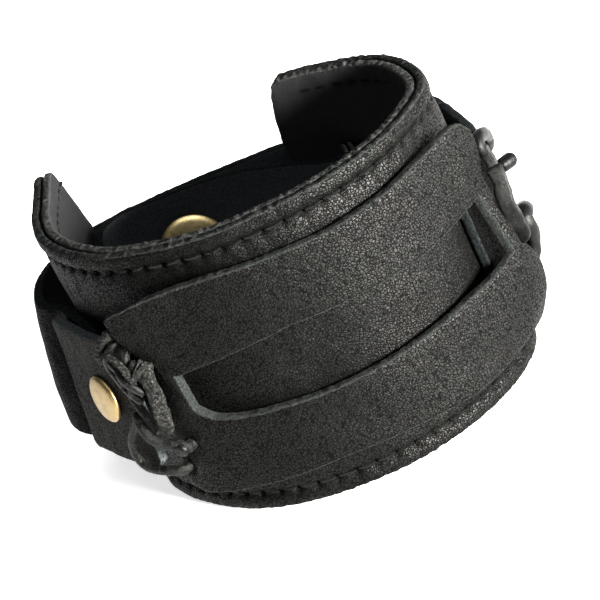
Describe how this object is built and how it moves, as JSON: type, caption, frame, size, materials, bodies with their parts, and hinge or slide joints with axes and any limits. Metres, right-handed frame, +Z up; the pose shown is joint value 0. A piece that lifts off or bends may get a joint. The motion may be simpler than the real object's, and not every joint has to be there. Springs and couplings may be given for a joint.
{
  "type": "cuff bracelet",
  "caption": "Wide leather cuff bracelet with a slotted overlay strap, lacing, a snapped tab and overlapping straps that close its back.",
  "frame": {"origin": "on the floor under the middle of the bracelet's bounding box, which stands on its lower rim", "axes": "+Z up along the wrist's axis, +X along the oval's long axis to the right as seen from the front, front facing -Y"},
  "size_m": [0.09, 0.061, 0.05],
  "materials": {
    "black_leather": "fine grain, satin",
    "black_suede": "flesh side, matte",
    "strap_leather": "smooth, matte",
    "lace_leather": "rough strands",
    "pale_brass": "worn satin"
  },
  "bodies": {
    "root": {"cuff_outer": "black_leather", "cuff_lining": "black_suede", "overlay": "black_leather", "left_tab": "strap_leather", "strap_outer": "strap_leather", "strap_inner": "strap_leather", "lace_left": "lace_leather", "lace_right_upper": "lace_leather", "lace_right_lower": "lace_leather", "front_snap": "pale_brass", "back_snap": "pale_brass", "back_snap_cap": "pale_brass"}
  },
  "joints": []
}
